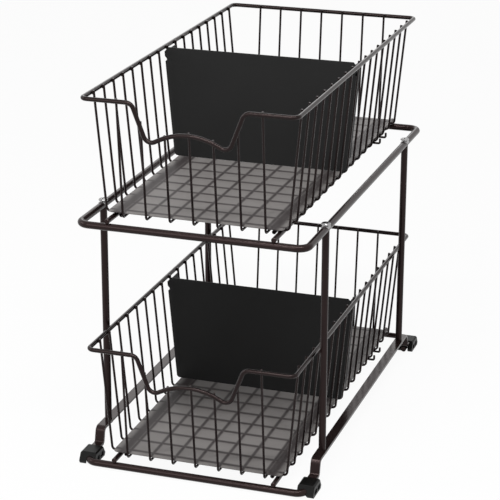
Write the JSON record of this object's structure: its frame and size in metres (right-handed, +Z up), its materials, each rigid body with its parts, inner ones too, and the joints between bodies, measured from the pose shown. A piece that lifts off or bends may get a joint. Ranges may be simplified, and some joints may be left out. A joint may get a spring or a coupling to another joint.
{
  "type": "two-tier pull-out cabinet basket",
  "caption": "Two-tier pull-out cabinet organiser: a tube frame on rubber feet with two sliding wire baskets, each with a handle scoop, a flat liner and a lift-out divider.",
  "frame": {"origin": "on the floor under the middle of the frame", "axes": "+Z up, -Y towards the front, where the baskets pull out and the handle scoops are, +X to the right seen from the front"},
  "size_m": [0.2796, 0.5001, 0.4379],
  "materials": {
    "frame_paint": "dark bronze paint, semi-gloss",
    "wire_paint": "dark bronze paint, semi-gloss",
    "screw_steel": "zinc-plated screws and washers",
    "foot_rubber": "moulded black rubber",
    "liner_plastic": "smoke-grey translucent sheet",
    "divider_plastic": "black moulded plastic"
  },
  "bodies": {
    "frame": {"upper_loop": "frame_paint", "upper_rail_left": "frame_paint", "upper_rail_right": "frame_paint", "post_front_left": "frame_paint", "post_front_right": "frame_paint", "post_rear_left": "frame_paint", "post_rear_right": "frame_paint", "top_screws": "screw_steel", "curved_washers": "screw_steel", "bottom_screws": "screw_steel", "side_strap_left": "frame_paint", "side_strap_right": "frame_paint", "front_bar": "frame_paint", "rear_rod": "frame_paint", "lower_rail_left": "frame_paint", "lower_rail_right": "frame_paint", "foot_front_left": "foot_rubber", "foot_front_right": "foot_rubber", "foot_rear_left": "foot_rubber", "foot_rear_right": "foot_rubber"},
    "upper_basket": {"upper_rim": "wire_paint", "upper_cross_wires": "wire_paint", "upper_long_wires": "wire_paint", "upper_runners": "wire_paint", "upper_guide_clips": "wire_paint", "upper_liner": "liner_plastic"},
    "lower_basket": {"lower_rim": "wire_paint", "lower_cross_wires": "wire_paint", "lower_long_wires": "wire_paint", "lower_runners": "wire_paint", "lower_guide_clips": "wire_paint", "lower_liner": "liner_plastic"},
    "upper_divider": {"upper_divider": "divider_plastic"},
    "lower_divider": {"lower_divider": "divider_plastic"}
  },
  "joints": [
    {"name": "upper_basket_slide", "type": "slide", "parent": "frame", "child": "upper_basket", "axis": [0, -1, 0], "range_m": [0, 0.3]},
    {"name": "lower_basket_slide", "type": "slide", "parent": "frame", "child": "lower_basket", "axis": [0, -1, 0], "range_m": [0, 0.3]},
    {"name": "upper_divider_lift", "type": "slide", "parent": "upper_basket", "child": "upper_divider", "axis": [0, 0, 1], "range_m": [0, 0.14]},
    {"name": "lower_divider_lift", "type": "slide", "parent": "lower_basket", "child": "lower_divider", "axis": [0, 0, 1], "range_m": [0, 0.13]}
  ]
}
